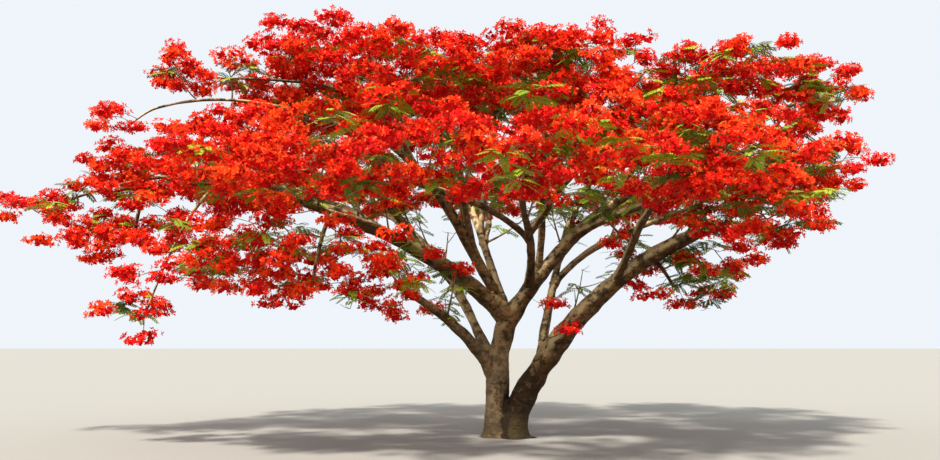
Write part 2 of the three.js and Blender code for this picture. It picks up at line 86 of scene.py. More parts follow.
def mesh_piece(name, points, face_sets, material, smooth):
    """An object at the origin from points (n, 3) and a list of face arrays, each (m, corners)."""
    mesh = bpy.data.meshes.new(name)
    corners = np.concatenate([faces.ravel() for faces in face_sets]).astype(np.int32)
    counts = np.concatenate([np.full(len(faces), faces.shape[1]) for faces in face_sets])
    counts = counts.astype(np.int32)
    mesh.vertices.add(len(points))
    mesh.vertices.foreach_set("co", np.ascontiguousarray(points, np.float32).ravel())
    mesh.loops.add(len(corners))
    mesh.loops.foreach_set("vertex_index", corners)
    mesh.polygons.add(len(counts))
    mesh.polygons.foreach_set("loop_start", (np.cumsum(counts) - counts).astype(np.int32))
    mesh.polygons.foreach_set("loop_total", counts)
    mesh.polygons.foreach_set("use_smooth", np.full(len(counts), smooth))
    mesh.update(calc_edges=True)
    mesh.validate()
    mesh.materials.append(material)
    piece = bpy.data.objects.new(name, mesh)
    bpy.context.scene.collection.objects.link(piece)
    return piece


class Value:
    """A number that changes over a surface. Sums and products with it add Math nodes."""

    def __init__(self, paint, socket):
        self.paint = paint
        self.socket = socket

    def combine(self, operation, first, second):
        """One Math node of two values or plain numbers."""
        return self.paint.node("ShaderNodeMath", {"operation": operation}, {0: first, 1: second})

    def __add__(self, other):
        return self.combine("ADD", self, other)

    def __radd__(self, other):
        return self.combine("ADD", other, self)

    def __mul__(self, other):
        return self.combine("MULTIPLY", self, other)

    def __rmul__(self, other):
        return self.combine("MULTIPLY", other, self)

    def __sub__(self, other):
        return self.combine("SUBTRACT", self, other)

    def __rsub__(self, other):
        return self.combine("SUBTRACT", other, self)

    def __neg__(self):
        return 0 - self


class Paint:
    """One material: a plain colour and roughness, and the nodes that change them over a surface."""

    GLOSS = 0.2

    def __init__(self, name, color, roughness, gloss=GLOSS):
        self.material = bpy.data.materials.new(name)
        self.material.use_nodes = True
        self.tree = self.material.node_tree
        self.shader = self.tree.nodes["Principled BSDF"]
        self.shader.inputs["Base Color"].default_value = (*color, 1.0)
        self.shader.inputs["Roughness"].default_value = roughness
        self.shader.inputs["Specular IOR Level"].default_value = gloss

    def node(self, kind, settings, sockets, output=0):
        """Any node: settings are its own, and a socket takes a number or a Value."""
        made = self.tree.nodes.new(kind)
        for name, value in settings.items():
            setattr(made, name, value)
        for name, value in sockets.items():
            if isinstance(value, Value):
                self.tree.links.new(value.socket, made.inputs[name])
            else:
                made.inputs[name].default_value = value
        return Value(self, made.outputs[output])

    def place(self):
        """The place on the tree, in metres from its origin."""
        return self.node("ShaderNodeTexCoord", {}, {}, "Object")

    def part(self, vector, letter):
        """One of a vector's three parts."""
        return self.node("ShaderNodeSeparateXYZ", {}, {0: vector}, letter)

    def noise(self, scale, detail):
        """Noise from 0 to 1 with scale waves to the metre and detail finer layers."""
        sockets = {"Vector": self.place(), "Scale": scale, "Detail": detail}
        return self.node("ShaderNodeTexNoise", {}, sockets)

    def step(self, value, low, high):
        """0 below low, 1 above high, and smooth between them."""
        sockets = {"Value": value, "From Min": low, "From Max": high}
        return self.node("ShaderNodeMapRange", {"interpolation_type": "SMOOTHSTEP"}, sockets)

    def mix(self, factor, first, second):
        """A colour between two others. A colour is a tuple of three or a Value."""
        colors = [c if isinstance(c, Value) else (*c, 1.0) for c in (first, second)]
        sockets = {0: factor, 6: colors[0], 7: colors[1]}
        return self.node("ShaderNodeMix", {"data_type": "RGBA"}, sockets, 2)

    def feed(self, socket, value):
        """Lets a value that changes over the surface drive one socket of the shader."""
        self.tree.links.new(value.socket, self.shader.inputs[socket])


floor_paint = Paint("floor", FLOOR_COLOR, roughness=0.95)
floor_corners = FLOOR_REACH * np.array([[-1, -1, 0], [1, -1, 0], [1, 1, 0], [-1, 1, 0]], float)
floor = mesh_piece("floor", floor_corners, [np.array([[0, 1, 2, 3]])], floor_paint.material, False)

# The limbs: one central stem, one low bough that starts as the second foot, and boughs that fork
# off them. Each spine is a cubic curve with a slight bend to the side, and the radius tapers along
# it, all as in the model. A bough's row holds what it leaves and at which share of it, its tip as a
# heading, a reach from the axis and a height, its slopes at both ends, and its radii there.
SWAY = 0.014
TAPER = 0.8
STEM_FOOT = (-0.120, 0.020, -0.060)
STEM_TOP = (0.120, 0.0, 2.080)
STEM_SLOPE = (90, 62)
STEM_RADII = (0.212, 0.178)
STEM_HOLD = (0.5, 0.2)
RIGHT_FOOT = (0.150, -0.050, -0.060)
RIGHT_HOLD = (0.19, 0.4)
BOUGH_HOLD = (0.33, 0.36)
BOUGHS = {
    "low_right": (None, 0, (-30, 3.40, 3.33), (90, 20), (0.255, 0.120)),
    "low_left_back": ("stem", 0.38, (128, 4.15, 4.50), (66, 24), (0.112, 0.052)),
    "low_left_front": ("stem", 0.35, (217, 2.15, 2.55), (64, 30), (0.128, 0.056)),
    "main_left": ("stem", 0.97, (195, 4.50, 4.35), (44, 16), (0.172, 0.084)),
    "centre_left": ("stem", 0.98, (205, 2.55, 5.25), (60, 28), (0.118, 0.062)),
    "centre_back": ("stem", 0.97, (119, 2.35, 5.50), (68, 50), (0.092, 0.050)),
    "right_high": ("stem", 1, (8, 3.45, 4.90), (58, 20), (0.158, 0.072)),
    "low_right_front": ("low_right", 0.74, (-54, 3.90, 3.85), (44, 20), (0.082, 0.046)),
    "right_upright": ("low_right", 0.36, (50, 3.20, 5.20), (84, 42), (0.086, 0.048)),
    "right_back": ("right_upright", 0.33, (32, 5.00, 4.55), (42, 20), (0.070, 0.044)),
    "left_far": ("main_left", 0.84, (184, 6.20, 4.40), (14, -6), (0.074, 0.040)),
    "left_back": ("main_left", 0.55, (157, 4.50, 4.60), (36, 16), (0.084, 0.046)),
    "left_upright": ("main_left", 0.4, (197, 3.65, 5.00), (66, 22), (0.078, 0.046)),
    "left_front": ("main_left", 0.46, (219, 4.00, 3.75), (20, 8), (0.084, 0.046)),
    "left_arch": ("centre_left", 0.9, (187, 6.15, 5.72), (24, -14), (0.046, 0.022)),
    "top_left": ("centre_left", 0.76, (200, 2.90, 6.15), (62, 40), (0.052, 0.036)),
    "centre_front": ("centre_left", 0.3, (238, 1.95, 5.35), (66, 50), (0.070, 0.044)),
    "centre_high": ("centre_back", 0.45, (95, 1.15, 5.80), (80, 72), (0.060, 0.040)),
    "back": ("centre_back", 0.4, (91, 4.05, 4.65), (42, 20), (0.066, 0.044)),
    "front": ("right_high", 0.14, (273, 3.60, 3.95), (54, 12), (0.084, 0.044)),
    "front_left": ("front", 0.34, (243, 3.60, 4.05), (38, 12), (0.060, 0.042)),
    "centre_top": ("right_high", 0.2, (-60, 1.50, 5.45), (78, 62), (0.074, 0.044)),
    "right_front": ("right_high", 0.45, (-18, 4.10, 4.40), (24, 10), (0.082, 0.046)),
    "front_right": ("front", 0.42, (-58, 2.50, 4.50), (46, 24), (0.060, 0.042)),
    "top_right": ("right_high", 0.72, (-20, 3.15, 5.80), (66, 46), (0.056, 0.040)),
    "right_far": ("right_high", 0.84, (0, 4.65, 5.20), (18, 24), (0.056, 0.040)),
}
UP = np.array([0.0, 0.0, 1.0])


def direction(heading, rise):
    """A unit vector from a heading in plan and a rise above the level, both in degrees."""
    turn, up = np.radians(heading), np.radians(rise)
    parts = [np.cos(up) * np.cos(turn), np.cos(up) * np.sin(turn), np.sin(up)]
    return np.stack(np.broadcast_arrays(*parts), axis=-1)


def unit(vectors):
    """Vectors brought to length one."""
    return vectors / np.maximum(np.linalg.norm(vectors, axis=-1, keepdims=True), 1e-9)


def seen_from_axis(heading, reach, height):
    """The point at a heading and a reach from the tree's axis, at a height."""
    return reach * direction(heading, 0) + height * UP


class Limb:
    """A spine: the cubic curve of four points, plus side * sway * sin(2 pi t), with its radius.

    The radius goes from the first to the second by the power TAPER of the share along the limb.
    """

    def __init__(self, start, end, slope, radii, hold, sway):
        chord = end - start
        self.length = np.linalg.norm(chord)
        heading = np.degrees(np.arctan2(chord[1], chord[0]))
        self.side = direction(heading + 90, 0)
        self.sway = sway * self.length
        self.radii = radii
        first = start + hold[0] * self.length * direction(heading, slope[0])
        last = end - hold[1] * self.length * direction(heading, slope[1])
        self.knots = np.array([start, first, last, end])

    def at(self, t):
        """The spine's points at shares t of the limb."""
        t = np.atleast_1d(t)[:, None]
        shares = np.hstack([(1 - t) ** 3, 3 * t * (1 - t) ** 2, 3 * t**2 * (1 - t), t**3])
        return shares @ self.knots + self.side * self.sway * np.sin(2 * np.pi * t)

    def towards(self, t):
        """Unit vectors along the spine, from just before shares t to just after."""
        t = np.atleast_1d(t)
        return unit(self.at(np.minimum(t + 0.01, 1)) - self.at(np.maximum(t - 0.01, 0)))

    def radius(self, t):
        """The radius at shares t."""
        return self.radii[0] + (self.radii[1] - self.radii[0]) * np.clip(t, 0, 1) ** TAPER


stem = Limb(np.array(STEM_FOOT), np.array(STEM_TOP), STEM_SLOPE, STEM_RADII, STEM_HOLD, 0)
limbs = {"stem": stem}
for order, (name, (parent, share, tip, slope, radii)) in enumerate(BOUGHS.items()):
    start = limbs[parent].at(share)[0] if parent else np.array(RIGHT_FOOT)
    hold = BOUGH_HOLD if parent else RIGHT_HOLD
    sway = SWAY * (1 if order % 2 else -1) if parent else 0
    limbs[name] = Limb(start, seen_from_axis(*tip), slope, radii, hold, sway)

# Bark: thin and warm brown, with painted sunlight where it faces the sun, weathered grey with
# painted light on the left of the lower stem, painted shade underneath, stains, flecks of lichen,
# a mossy foot, and painted shade low on the right and in the crotch where the two feet meet. Every
# limb is a tube along its spine. Its swellings are a sum of waves in space, so they run on from
# one limb into the next.
BARK_LIGHT = (0.37, 0.205, 0.075)
BARK_BROWN = (0.105, 0.048, 0.013)
BARK_PAINTED_SUNLIGHT = (0.74, 0.57, 0.29)
BARK_WEATHERED_AND_LIT = (0.43, 0.325, 0.20)
BARK_SHADED = (0.052, 0.023, 0.006)
BARK_STAIN_AND_SHADE = (0.022, 0.012, 0.006)
BARK_MOSS = (0.045, 0.038, 0.014)
BAND_SQUEEZE = (4.0, 4.0, 34.0)
FOOT_TOP = 0.62
RIGHT_FOOT_SHADE_TOP = 1.5
WEATHERED_AND_LIT_TOP = 2.3
PAINTED_SUNLIGHT_FROM = 1.6
PAINTED_SUNLIGHT_AT = 2.5
SUN_FROM_ABOVE = 0.8
SUN_FROM_LEFT = 0.6
SEAM_AT = 0.13
SEAM_LEAN = 0.09
CROTCH_SHADE_HALF = 0.1
CROTCH_SHADE_TOP = 0.90
LICHEN_SHARE = 0.34
WRINKLE_SHARE = 0.55
PAINTED_SUNLIGHT_SHARE = 0.88
WEATHERED_AND_LIT_SHARE = 0.50
SHADED_SHARE = 0.65
STAIN_AND_SHADE_SHARE = 0.85
MOSS_SHARE = 0.75
CROTCH_SHADE_SHARE = 0.85

# The patterns, and where on the tree the surface lies and faces
bark = Paint("bark", BARK_LIGHT, roughness=0.9)
broad = bark.noise(scale=1.6, detail=3.0)
patches = bark.noise(scale=7.0, detail=6.0)
grain = bark.noise(scale=48.0, detail=8.0)
mottle = bark.noise(scale=20.0, detail=5.0)
squeezed = bark.node("ShaderNodeMapping", {}, {"Vector": bark.place(), "Scale": BAND_SQUEEZE})
bands = bark.node("ShaderNodeTexNoise", {}, {"Vector": squeezed, "Scale": 1.0, "Detail": 4.0})
wrinkles = bark.step(bands, 0.54, 0.66)
lichen = bark.step(bark.noise(scale=8.0, detail=6.0), 0.55, 0.64)
height = bark.part(bark.place(), "Z")
rightwards = bark.part(bark.place(), "X")
facing = bark.node("ShaderNodeNewGeometry", {}, {}, "Normal")
upwards = bark.part(facing, "Z")
sunward = SUN_FROM_ABOVE * upwards - SUN_FROM_LEFT * bark.part(facing, "X")

# The places that differ from the rest of the bark
foot = bark.step(FOOT_TOP - height, 0.0, FOOT_TOP)
# Painted shade on the low right of the trunk: darker bark there.
right_foot_shade = bark.step(RIGHT_FOOT_SHADE_TOP - height, 0.0, 1.1) * bark.step(rightwards, 0.0, 0.22)
# Stains, more of them on the foot, and the painted shade on the low right of the trunk.
stains_and_shade = bark.step(patches + 0.35 * grain + 0.22 * right_foot_shade + 0.10 * foot, 0.64, 0.80)
off_seam = rightwards - SEAM_AT - SEAM_LEAN * height + 0.06 * mottle + 0.20 * patches
# Painted shade in the crotch: a dark band along the line where the two feet meet, low down.
crotch_band = bark.step(CROTCH_SHADE_HALF * CROTCH_SHADE_HALF - off_seam * off_seam, 0.0, 0.008)
crotch_shade = crotch_band * bark.step(CROTCH_SHADE_TOP - height, 0.0, 0.2)
# Painted sunlight: the bark is lighter where it faces the sun, less so low on the trunk.
painted_sunlight_reach = bark.step(height + rightwards * rightwards, PAINTED_SUNLIGHT_FROM, PAINTED_SUNLIGHT_AT)
painted_sunlight = bark.step(sunward + 0.5 * mottle, 0.10, 0.66) * (0.20 + 0.80 * painted_sunlight_reach)
painted_sunlight = painted_sunlight * (1 - right_foot_shade) * (1 - foot)
# Weathered grey on the left of the lower stem, which is also painted light there.
weathered_and_lit = bark.step(WEATHERED_AND_LIT_TOP - height, 0.0, 1.3) * bark.step(-off_seam, -0.04, 0.08)
lit_weathered_flecks = weathered_and_lit * bark.step(mottle + 0.3 * broad, 0.44, 0.76)
# Painted shade: the bark is darker where it faces down.
shade_underneath = bark.step(0.5 * mottle - upwards, 0.20, 0.95)

# The colours laid over each other, from the brown ground to the painted shade in the crotch
bark_color = bark.mix(bark.step(broad + 0.4 * mottle, 0.56, 0.86), BARK_BROWN, BARK_LIGHT)
bark_color = bark.mix(bark.step(mottle, 0.46, 0.70), bark_color, BARK_BROWN)
for share, color in (
    (LICHEN_SHARE * lichen, BARK_WEATHERED_AND_LIT),
    (WRINKLE_SHARE * wrinkles, BARK_STAIN_AND_SHADE),
    (PAINTED_SUNLIGHT_SHARE * painted_sunlight, BARK_PAINTED_SUNLIGHT),
    (WEATHERED_AND_LIT_SHARE * lit_weathered_flecks, BARK_WEATHERED_AND_LIT),
    (SHADED_SHARE * shade_underneath, BARK_SHADED),
    (STAIN_AND_SHADE_SHARE * stains_and_shade * (1 - 0.45 * weathered_and_lit), BARK_STAIN_AND_SHADE),
    (MOSS_SHARE * foot * bark.step(mottle, 0.36, 0.58), BARK_MOSS),
    (CROTCH_SHADE_SHARE * crotch_shade, BARK_STAIN_AND_SHADE),
):
    bark_color = bark.mix(share, bark_color, color)
bark.feed("Base Color", bark_color)
bark.feed("Roughness", 0.80 + 0.18 * grain)
bumps = {"Strength": 0.8, "Distance": 0.020}
bumps["Height"] = patches + grain - 0.4 * wrinkles + 0.2 * lichen
bark.feed("Normal", bark.node("ShaderNodeBump", {}, bumps))

# The relief in the mesh: each band is slowest and fastest wave, in radians to the metre, and depth
WAVE_BANDS = ((3.0, 9.0, 0.085), (11.0, 28.0, 0.055), (40.0, 85.0, 0.016))
WAVES_IN_BAND = 9
wave_rng = np.random.default_rng(11)
waves = []
for slowest, fastest, depth in WAVE_BANDS:
    heads = unit(wave_rng.normal(size=(WAVES_IN_BAND, 3)))
    heads = heads * wave_rng.uniform(slowest, fastest, (WAVES_IN_BAND, 1))
    turns = wave_rng.uniform(0, 2 * np.pi, (WAVES_IN_BAND, 1))
    depths = np.full((WAVES_IN_BAND, 1), depth / math.sqrt(WAVES_IN_BAND))
    waves.append(np.hstack([heads, turns, depths]))
waves = np.vstack(waves)


def relief(points):
    """How far the bark stands out, as a share of the limb's radius: a sum of sines in space."""
    return np.sin(points @ waves[:, :3].T + waves[:, 3]) @ waves[:, 4]


def tube(centres, radii, side, sides):
    """Rings of points round the centres (n, 3), as wide as radii (n, sides), and two end caps."""
    along = unit(np.gradient(centres, axis=0))
    across = unit(side - (along @ side)[:, None] * along)
    over = np.cross(across, along)
    turns = (np.arange(sides) * 2 * np.pi / sides)[:, None]
    round_ = np.cos(turns) * across[:, None] + np.sin(turns) * over[:, None]
    rings = centres[:, None] + radii[..., None] * round_
    k = np.arange((len(centres) - 1) * sides)
    nxt = k - k % sides + (k + 1) % sides
    quads = np.stack([k, k + sides, nxt + sides, nxt], axis=-1)
    points = rings.reshape(-1, 3)
    last = len(points)
    points = np.vstack([points, centres[:1], centres[-1:]])
    s = np.arange(sides)
    first_cap = np.stack([s, (s + 1) % sides, np.full(sides, last)], axis=-1)
    top = (len(centres) - 1) * sides
    last_cap = np.stack([top + (s + 1) % sides, top + s, np.full(sides, last + 1)], axis=-1)
    return points, [quads, first_cap, last_cap]


FEWEST_RINGS = 6
COLLAR_RUN = 2.2


def bough_tube(limb, start, end, sides, spacing, collar, swell):
    """A limb between two shares, with a collar at its foot and relief on its radius.

    The collar is a bell curve of the run from the foot, over COLLAR_RUN radii of the foot.
    """
    steps = max(FEWEST_RINGS, int(limb.length * (end - start) / spacing))
    t = np.linspace(start, end, steps + 1)
    centres = limb.at(t)
    plain = limb.radius(t)
    run = (t - start) * limb.length / limb.radii[0]
    plain = plain * (1 + collar * np.exp(-((run / COLLAR_RUN) ** 2)))
    points, faces = tube(centres, np.repeat(plain[:, None], sides, axis=1), limb.side, sides)
    rim = points[: len(t) * sides].reshape(len(t), sides, 3)
    stand = 1 + swell * relief(rim.reshape(-1, 3)).reshape(len(t), sides, 1)
    points[: len(t) * sides] = (centres[:, None] + (rim - centres[:, None]) * stand).reshape(-1, 3)
    return points, faces


# The trunk and its forks: both feet with their root flare, and the first stretch of every bough
# that leaves them, grown into one skin as living wood is. The skin is remeshed, eased at the
# crotches, and given its relief, here as a share of RELIEF_RADIUS.
FLARE = 0.42
FLARE_HEIGHT = 0.130
FLARE_LOBES = 5
LOBE_DEPTH = 0.3
RIGHT_LEAVES_TRUNK = 0.235
RIGHT_OVERLAP = 0.02
FORK_REACH = 0.62
FORK_SIDES = 30
FORK_SPACING = 0.03
FORK_COLLAR = 0.1
TRUNK_SIDES = 56
TRUNK_RINGS = 70
VOXEL = 0.020
EASE_SHARE = 0.5
EASE_TIMES = 14
RELIEF_RADIUS = 0.19


def flared_foot(limb, end):
    """A foot that widens towards the ground by a falling exponential, in five lobes."""
    t = np.linspace(0, end, TRUNK_RINGS)
    turns = np.arange(TRUNK_SIDES) * 2 * np.pi / TRUNK_SIDES
    centres = limb.at(t)
    lobes = 1 + LOBE_DEPTH * np.cos(FLARE_LOBES * turns)
    flare = 1 + FLARE * lobes[None] * np.exp(-centres[:, 2:] / FLARE_HEIGHT)
    return tube(centres, limb.radius(t)[:, None] * flare, limb.side, TRUNK_SIDES)


trunk_shapes = [
    flared_foot(stem, 1.0),
    flared_foot(limbs["low_right"], RIGHT_LEAVES_TRUNK + RIGHT_OVERLAP),
]
on_trunk = [name for name, row in BOUGHS.items() if row[0] == "stem"] + ["right_upright"]
for name in on_trunk:
    reach = FORK_REACH / limbs[name].length
    fork = bough_tube(limbs[name], 0, reach, FORK_SIDES, FORK_SPACING, FORK_COLLAR, swell=0)
    trunk_shapes.append(fork)
offset = 0
joined_points = []
joined_faces = [[], []]
for points, faces in trunk_shapes:
    joined_points.append(points)
    joined_faces[0].append(faces[0] + offset)
    joined_faces[1] += [faces[1] + offset, faces[2] + offset]
    offset += len(points)
trunk = mesh_piece(
    "trunk_and_forks",
    np.vstack(joined_points),
    [np.vstack(joined_faces[0]), np.vstack(joined_faces[1])],
    bark.material,
    True,
)
remesh = trunk.modifiers.new("one skin", "REMESH")
remesh.mode = "VOXEL"
remesh.voxel_size = VOXEL
ease = trunk.modifiers.new("eased crotches", "SMOOTH")
ease.factor = EASE_SHARE
ease.iterations = EASE_TIMES
grown = trunk.evaluated_get(bpy.context.evaluated_depsgraph_get())
skin = bpy.data.meshes.new_from_object(grown)
trunk.modifiers.clear()
trunk.data = skin
skin_points = np.empty(len(skin.vertices) * 3, np.float32)
skin.vertices.foreach_get("co", skin_points)
skin_points = skin_points.reshape(-1, 3).astype(float)
skin_normals = np.empty(len(skin.vertices) * 3, np.float32)
skin.vertex_normals.foreach_get("vector", skin_normals)
skin_normals = skin_normals.reshape(-1, 3)
skin_points += skin_normals * (RELIEF_RADIUS * relief(skin_points))[:, None]
skin_points[:, 2] = np.maximum(skin_points[:, 2], 0.0)
skin.vertices.foreach_set("co", skin_points.astype(np.float32).ravel())
skin.polygons.foreach_set("use_smooth", np.full(len(skin.polygons), True))
skin.update()
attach(trunk, "root")
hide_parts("trunk")

# The boughs: each is one tapering limb that runs on from the fork, with a collar at its foot where
# it leaves another bough, and it ends where its mass of twigs takes over.
BOUGH_SPACING = 0.05
BOUGH_COLLAR = 0.32
STARTS_IN_FORK = 0.8
FEWEST_SIDES = 10
SIDES_A_METRE = 95
for name in BOUGHS:
    limb = limbs[name]
    if name == "low_right":
        start, collar = RIGHT_LEAVES_TRUNK - 0.5 * RIGHT_OVERLAP, 0.0
    elif name in on_trunk:
        start, collar = STARTS_IN_FORK * FORK_REACH / limb.length, 0.0
    else:
        start, collar = 0.0, BOUGH_COLLAR
    sides = FEWEST_SIDES + int(SIDES_A_METRE * limb.radii[0])
    points, faces = bough_tube(limb, start, 1.0, sides, BOUGH_SPACING, collar, swell=1.0)
    bough = mesh_piece("bark_" + name, points, faces, bark.material, True)
    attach(bough, "root")
    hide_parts(name)

# The masses of the crown: each row holds the bough that carries it, where on it the stem starts,
# the middle as a heading, a reach and a height, and the half sizes. Each mass keeps to its own
# space, inside the planes between it and its neighbours, in a space FLATNESS times as tall.
FLATNESS = 1.8
HUB_SHORT = 0.35
HUB_LOW = 0.25
SIDE_RISE = 26
LEAD_SHARE = 0.3
MASSES = {
    "blossom_low_right": ("low_right", 1, (-34, 4.50, 3.60), (1.55, 1.45, 0.68)),
    "blossom_low_left_back": ("low_left_back", 1, (125, 5.25, 5.00), (1.75, 1.75, 0.70)),
    "blossom_low_left_front": ("low_left_front", 1, (222, 2.75, 2.74), (1.20, 1.10, 0.84)),
    "blossom_main_left": ("main_left", 1, (180, 6.15, 4.72), (1.45, 1.45, 0.56)),
    "blossom_centre_left": ("centre_left", 1, (177, 3.45, 6.05), (1.50, 1.60, 0.64)),
    "blossom_centre_back": ("centre_back", 1, (127, 2.95, 6.35), (1.80, 1.80, 0.62)),
    "blossom_right_high": ("right_high", 1, (13, 3.70, 5.72), (1.50, 1.50, 0.64)),
    "blossom_low_right_front": ("low_right_front", 1, (-58, 4.85, 4.15), (1.65, 1.60, 0.70)),
    "blossom_right_upright": ("right_upright", 1, (48, 4.00, 6.10), (1.70, 1.65, 0.64)),
    "blossom_right_back": ("right_back", 1, (28, 5.90, 5.05), (1.70, 1.65, 0.70)),
    "blossom_left_far": ("left_far", 1, (185, 6.95, 3.72), (1.35, 1.35, 0.84)),
    "blossom_left_back": ("left_back", 1, (156, 5.55, 5.05), (1.90, 1.90, 0.70)),
    "blossom_left_upright": ("left_upright", 1, (192, 4.50, 5.20), (1.20, 1.30, 0.50)),
    "blossom_left_front": ("left_front", 1, (224, 5.15, 4.02), (1.60, 1.60, 0.72)),
    "blossom_left_arch": ("left_arch", 1, (187, 6.78, 5.42), (0.36, 0.34, 0.36)),
    "blossom_top_left": ("top_left", 1, (199, 3.15, 6.68), (1.45, 1.20, 0.52)),
    "blossom_centre_front": ("centre_front", 1, (238, 2.50, 5.96), (1.60, 1.55, 0.60)),
    "blossom_front_left": ("front_left", 1, (248, 4.75, 4.14), (1.60, 1.60, 0.84)),
    "blossom_centre_high": ("centre_high", 1, (92, 1.35, 6.55), (1.75, 1.75, 0.58)),
    "blossom_back": ("back", 1, (90, 4.85, 5.10), (1.70, 1.70, 0.70)),
    "blossom_front": ("front", 1, (275, 4.85, 4.05), (1.65, 1.60, 0.80)),
    "blossom_centre_top": ("centre_top", 1, (-66, 2.05, 6.08), (1.70, 1.60, 0.62)),
    "blossom_right_front": ("right_front", 1, (-13, 5.20, 4.62), (1.45, 1.40, 0.76)),
    "blossom_front_right": ("front_right", 1, (-54, 3.40, 5.05), (1.45, 1.40, 0.74)),
    "blossom_top_right": ("top_right", 1, (-24, 3.95, 6.06), (1.40, 1.30, 0.54)),
    "blossom_right_far": ("right_far", 1, (-4, 5.50, 6.04), (1.00, 1.30, 0.60)),
    "blossom_left_low": ("main_left", 0.8, (206, 5.02, 3.04), (1.32, 1.30, 0.78)),
    "blossom_left_tip": ("left_far", 0.6, (185, 8.40, 3.95), (0.80, 0.50, 0.26)),
    "blossom_left_skirt": ("left_far", 0.4, (196, 6.20, 2.24), (0.46, 0.54, 0.80)),
    "blossom_front_skirt": ("left_front", 0.7, (222, 4.30, 2.84), (1.40, 1.00, 0.90)),
    "blossom_upper_tip": ("top_left", 0.8, (189, 5.34, 6.34), (0.95, 0.60, 0.42)),
    "leaf_low_right": ("low_right", 0.86, (-21, 3.40, 2.72), (1.15, 1.05, 0.64)),
    "blossom_back_right": ("right_back", 0.7, (56, 5.85, 4.95), (1.75, 1.65, 0.70)),
}


class Mass:
    """A mass's root on its bough, its middle, its heading and half sizes, and its curved stem."""

    def __init__(self, name, on, share, middle, half):
        self.name = name
        self.bough = limbs[on]
        self.share = share
        self.root = self.bough.at(share)[0]
        self.middle = seen_from_axis(*middle)
        self.half = np.array(half)
        away = self.middle - self.root
        self.heading = np.degrees(np.arctan2(away[1], away[0]))
        short = HUB_SHORT * half[0] * direction(self.heading, 0)
        hub = self.middle - short - HUB_LOW * half[2] * UP
        lead = self.bough.towards(1)[0] if share == 1 else direction(self.heading, SIDE_RISE)
        bend = self.root + LEAD_SHARE * np.linalg.norm(hub - self.root) * lead
        self.knots = np.array([self.root, bend, hub])

    def reach(self, towards):
        """How far the mass reaches along unit vectors of the taller space."""
        along = direction(self.heading, 0)
        x = towards @ along
        y = towards[..., 1] * along[0] - towards[..., 0] * along[1]
        a, b, c = self.half
        return np.sqrt((a * x) ** 2 + (b * y) ** 2 + (c * FLATNESS * towards[..., 2]) ** 2)


def bend_shares(t):
    """What each of the three knots of a quadratic curve adds at shares t, as (n, 3)."""
    t = np.atleast_1d(t)
    return np.stack([(1 - t) ** 2, 2 * t * (1 - t), t**2], axis=-1)


def bend_at(knots, t):
    """Points of the quadratic curve of three knots at shares t."""
    return bend_shares(t) @ knots


masses = [Mass(name, *row) for name, row in MASSES.items()]
taller = np.array([1, 1, FLATNESS])
for mass in masses:
    others = [other for other in masses if other is not mass]
    apart = np.array([other.middle - mass.middle for other in others]) * taller
    distance = np.linalg.norm(apart, axis=1)
    mass.normals = apart / distance[:, None]
    mine = mass.reach(mass.normals)
    theirs = np.array([other.reach(normal) for other, normal in zip(others, mass.normals)])
    mass.limits = distance * mine / (mine + theirs)

# Every limb as points with a radius, which sprays keep clear of
LIMB_CHECKS = np.linspace(0, 1, 40)
limb_points = np.vstack([limb.at(LIMB_CHECKS) for limb in limbs.values()])
limb_radii = np.concatenate([limb.radius(LIMB_CHECKS) for limb in limbs.values()])

# The growth rule, as in the model: places that fill the mass evenly are joined one by one, the
# cheapest to reach first, to the fork that is best for them. Here it goes on to finer twigs: more
# places in each mass, and at each place a few twiglets that end in blossom. STEP is the first three
# powers of one over the root of x^4 = x + 1, and START is the golden section.
SPRAYS_A_SQUARE = 17
FEWEST_SPRAYS = 8
TOP_HEIGHT = 5.9
TOP_FULLNESS = 1.25
STEP = np.array([0.8191725134, 0.6710436067, 0.5497004779])
START = 0.6180339887
TRIES_A_SPRAY = 12
FILL = 0.92
FILL_UP = 0.86
APART = 0.36
LAYER = 0.19
LIMB_ROOM = 0.16
PATH_SHARE = 0.35
STEM_FORKS = (0.5, 0.67, 0.84, 1.0)
STEM_CHECKS = np.linspace(0, 1, 9)
TWIG_FORKS = (0.35, 0.6, 0.85)
TWIG_WAVER = 0.07
TWIG_ARCH = 0.13
rng = np.random.default_rng(7)


def places_in(mass, index):
    """Places in a flattened ball by an additive sequence, kept apart and in the mass's space."""
    a, b, c = mass.half
    fullness = TOP_FULLNESS if mass.middle[2] > TOP_HEIGHT else 1
    wanted = max(FEWEST_SPRAYS, round(fullness * SPRAYS_A_SQUARE * a * b))
    i = np.arange(1, TRIES_A_SPRAY * wanted)[:, None]
    u, v, w = ((index * START + i * STEP) % 1).T
    rise = 2 * w - 1
    away = np.cbrt(v)
    flat = FILL * away * np.sqrt(1 - rise**2)
    found = (
        mass.middle
        + (a * flat * np.cos(2 * np.pi * u))[:, None] * direction(mass.heading, 0)
        + (b * flat * np.sin(2 * np.pi * u))[:, None] * direction(mass.heading + 90, 0)
        + (FILL_UP * c * away * rise)[:, None] * UP
    )
    inside = ((((found - mass.middle) * taller) @ mass.normals.T) < mass.limits).all(axis=1)
    gaps = np.linalg.norm(found[:, None] - limb_points[None], axis=2) - limb_radii
    found = found[inside & (gaps.min(axis=1) > LIMB_ROOM)]
    kept = []
    for place in found:
        gaps = [place - other for other in kept]
        if not any(np.hypot(*gap[:2]) < APART and abs(gap[2]) < LAYER for gap in gaps):
            kept.append(place)
        if len(kept) == wanted:
            break
    return np.array(kept)


